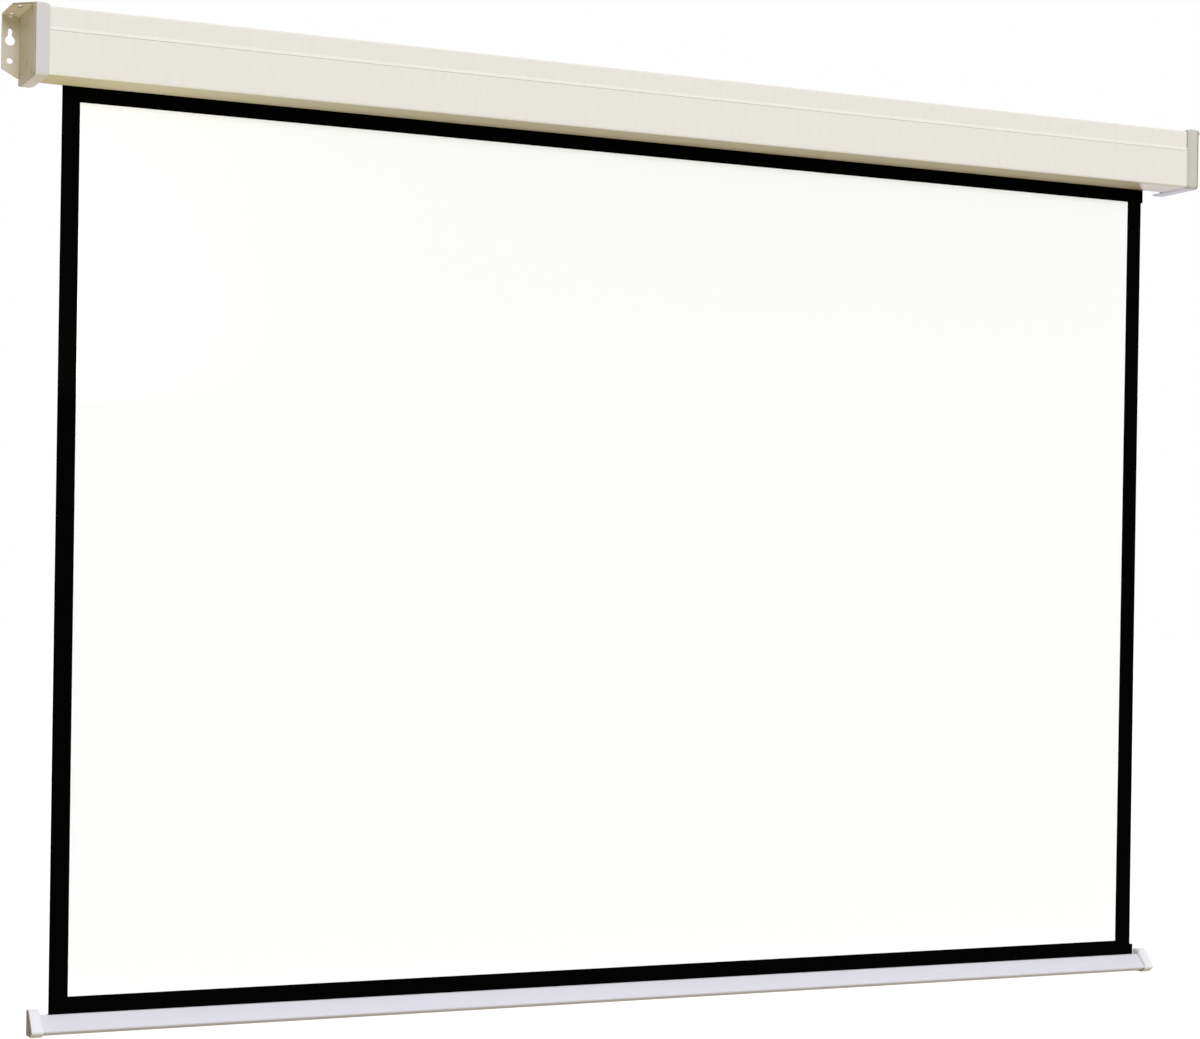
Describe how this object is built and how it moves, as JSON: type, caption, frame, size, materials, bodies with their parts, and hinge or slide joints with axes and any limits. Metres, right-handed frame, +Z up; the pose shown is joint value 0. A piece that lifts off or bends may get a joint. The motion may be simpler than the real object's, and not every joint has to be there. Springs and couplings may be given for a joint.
{
  "type": "motorized projector screen",
  "caption": "Electric roller projection screen, lowered: slim casing with wall and ceiling brackets, black-framed white sheet and sloped weight bar.",
  "frame": {"origin": "half way along the casing's back, in the wall plane, 40.5 mm above the casing's floor", "axes": "+X along the casing to the viewer's right, +Y into the wall, +Z up; the sheet faces -Y"},
  "size_m": [1.7468, 0.0848, 1.237],
  "materials": {
    "powder_coat": "powder-coated warm off-white",
    "moulded_cap": "fine-grained moulded plastic",
    "painted_steel": "satin enamel on folded sheet",
    "zinc_plate": "zinc plated",
    "bright_steel": "turned, bright",
    "motor_winding": "varnished copper winding",
    "black_nylon": "moulded nylon",
    "grey_plastic": "moulded",
    "brass": "turned",
    "rubber": "matt black",
    "white_cloth": "matt white coated, printed black frame",
    "black_cloth": "matt black coated",
    "bar_lacquer": "satin lacquer, faintly lilac white"
  },
  "bodies": {
    "casing": {"top_profile": "powder_coat", "front_cover": "powder_coat", "end_cap_left": "moulded_cap", "end_cap_right": "moulded_cap", "mounting_bracket_left": "painted_steel", "wall_ear_left": "painted_steel", "ceiling_flange_left": "painted_steel", "mounting_bracket_right": "painted_steel", "wall_ear_right": "painted_steel", "ceiling_flange_right": "painted_steel", "end_screw_left_top_front": "zinc_plate", "end_screw_left_top_back": "zinc_plate", "end_screw_left_bottom_back": "zinc_plate", "end_screw_left_bottom_front": "zinc_plate", "end_screw_right_top_front": "zinc_plate", "end_screw_right_top_back": "zinc_plate", "end_screw_right_bottom_back": "zinc_plate", "end_screw_right_bottom_front": "zinc_plate", "idler_bracket": "bright_steel", "idler_bracket_screw_top": "zinc_plate", "idler_bracket_screw_bottom": "zinc_plate", "idler_bush": "black_nylon", "motor_bracket": "bright_steel", "motor_bracket_screw_top": "zinc_plate", "motor_bracket_screw_bottom": "zinc_plate", "motor_head": "black_nylon", "motor_tube": "zinc_plate", "run_capacitor": "grey_plastic", "motor_core": "motor_winding", "brake": "grey_plastic", "gearbox": "zinc_plate", "cable_grommet": "rubber", "screen_sheet": "white_cloth"},
    "roller": {"roller_tube": "zinc_plate", "limit_crown": "grey_plastic", "drive_wheel": "grey_plastic", "wheel_clip": "bright_steel", "output_shaft": "bright_steel", "idler_plug": "black_nylon", "idler_pin": "bright_steel", "plug_rivet_top": "zinc_plate", "plug_rivet_bottom": "zinc_plate", "wound_cloth": "black_cloth"},
    "weight_bar": {"weight_bar": "bar_lacquer", "bar_cap_left": "moulded_cap", "bar_cap_right": "moulded_cap", "bar_cap_screw_left": "zinc_plate", "bar_cap_screw_right": "zinc_plate", "bottom_hem": "black_cloth", "hem_rod": "bright_steel"},
    "up_stop_screw": {"limit_screw_up": "brass"},
    "down_stop_screw": {"limit_screw_down": "brass"}
  },
  "joints": [
    {"name": "roller_turn", "type": "hinge", "parent": "casing", "child": "roller", "pos_m": [0, -0.04788, 0.001], "axis": [1, 0, 0], "range_deg": [0, 2508]},
    {"name": "bar_lift", "type": "slide", "parent": "casing", "child": "weight_bar", "axis": [0, 0, 1], "range_m": [0, 1.1145], "deforming": ["screen_sheet"]},
    {"name": "up_stop_turn", "type": "hinge", "parent": "casing", "child": "up_stop_screw", "pos_m": [0.8446, -0.05788, -0.013], "axis": [1, 0, 0], "continuous": true},
    {"name": "down_stop_turn", "type": "hinge", "parent": "casing", "child": "down_stop_screw", "pos_m": [0.8446, -0.03787, -0.013], "axis": [1, 0, 0], "continuous": true}
  ],
  "couplings": [
    {"joint": "bar_lift", "follows": "roller_turn", "m_per_rad": 0.02544}
  ]
}
